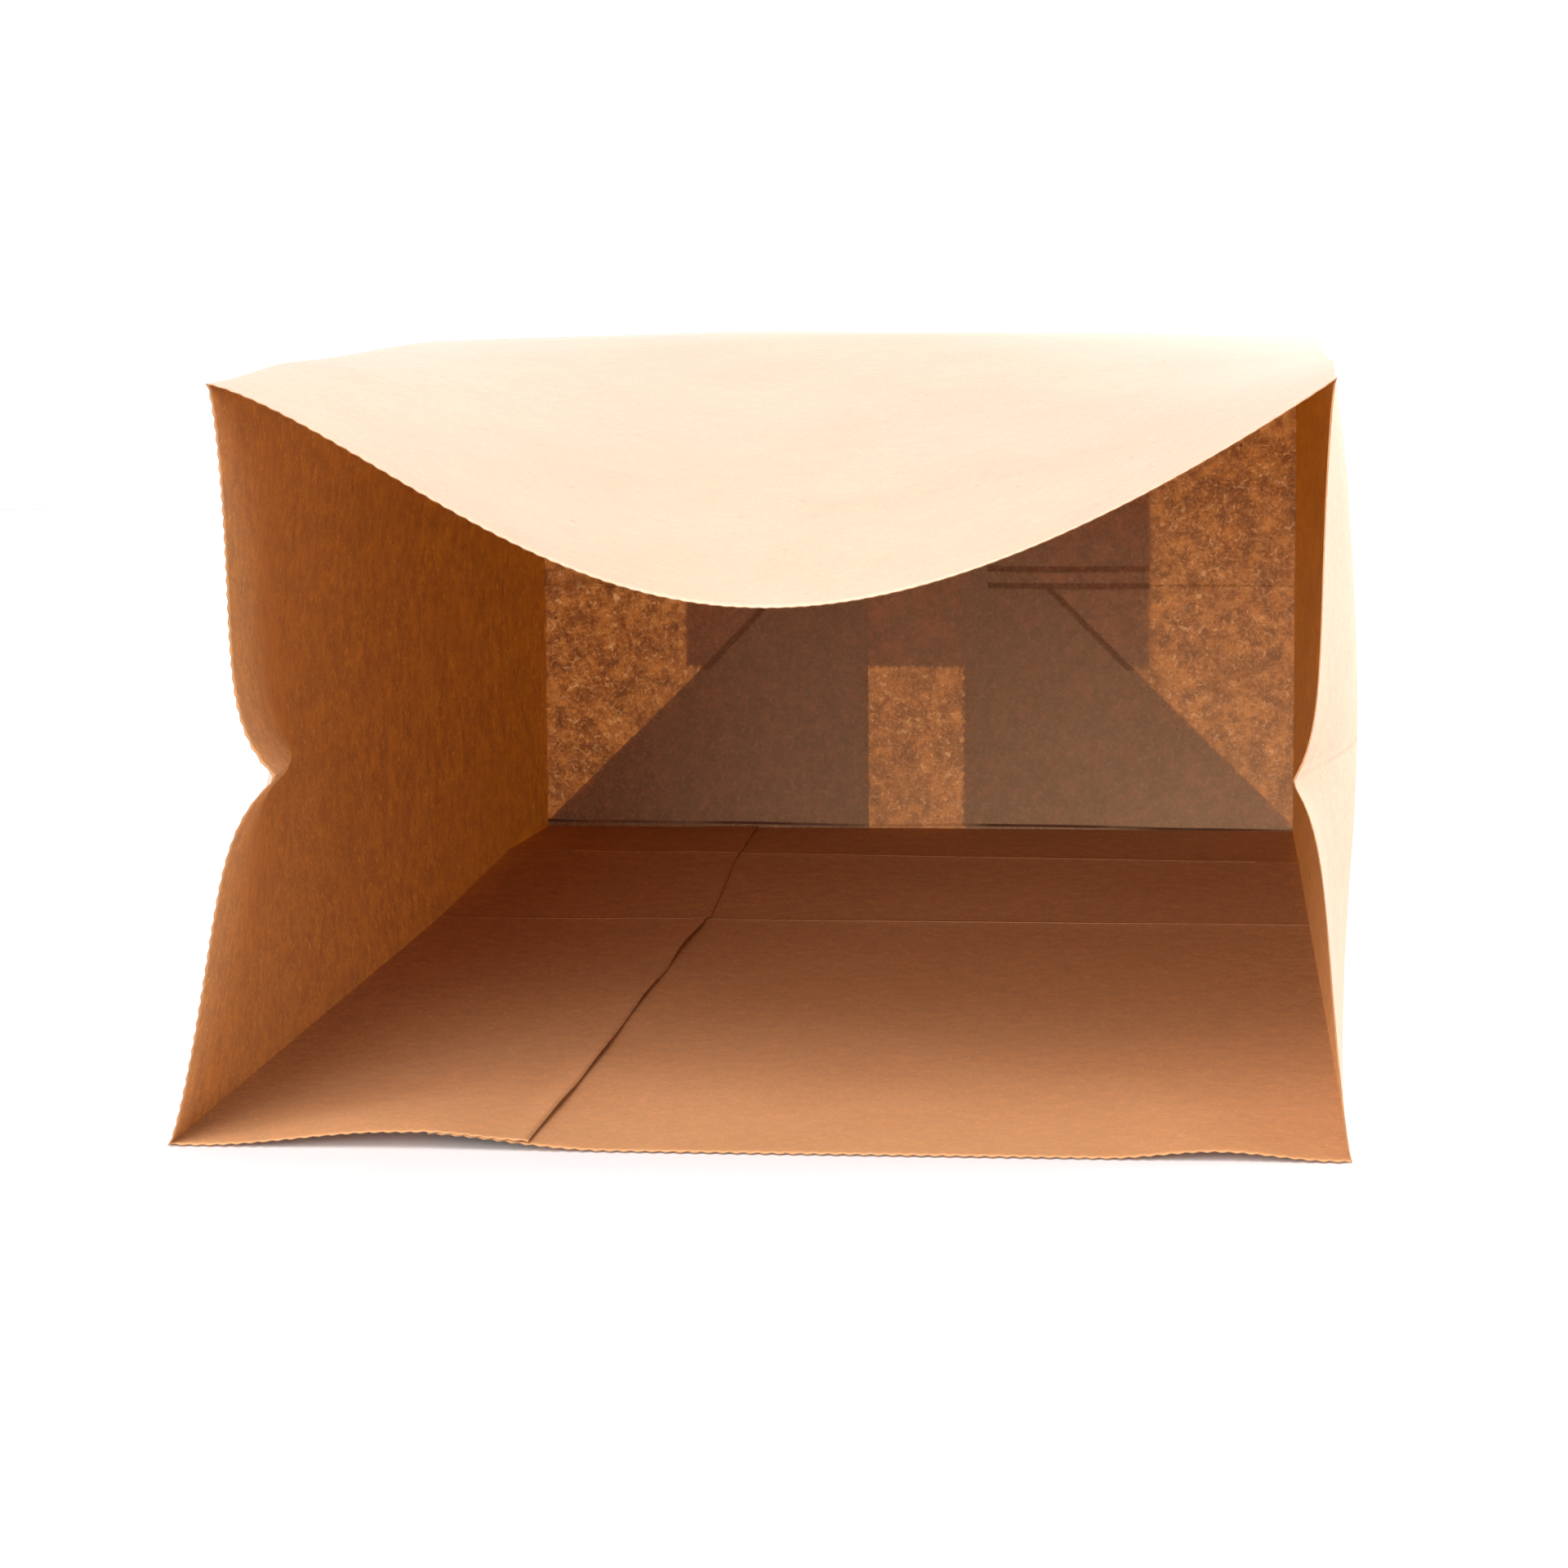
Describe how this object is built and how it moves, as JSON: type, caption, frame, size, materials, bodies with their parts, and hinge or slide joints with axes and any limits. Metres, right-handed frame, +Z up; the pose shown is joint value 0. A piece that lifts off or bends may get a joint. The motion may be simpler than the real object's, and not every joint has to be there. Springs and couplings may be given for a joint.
{
  "type": "brown paper lunch bag",
  "caption": "Block-bottom brown kraft paper bag lying open on its wide glued face, for carrying a packed lunch.",
  "frame": {"origin": "centre of the box around the bag, at the height of the surface that it lies on", "axes": "+Y from the open mouth to the block bottom, +Z up from the glued wide face to the sagging one, +X across the width"},
  "size_m": [0.1378, 0.2778, 0.0896],
  "materials": {
    "kraft_paper": "matt machine-finished brown kraft with visible fibres"
  },
  "bodies": {
    "root": {"paper_bag": "kraft_paper"}
  },
  "joints": []
}
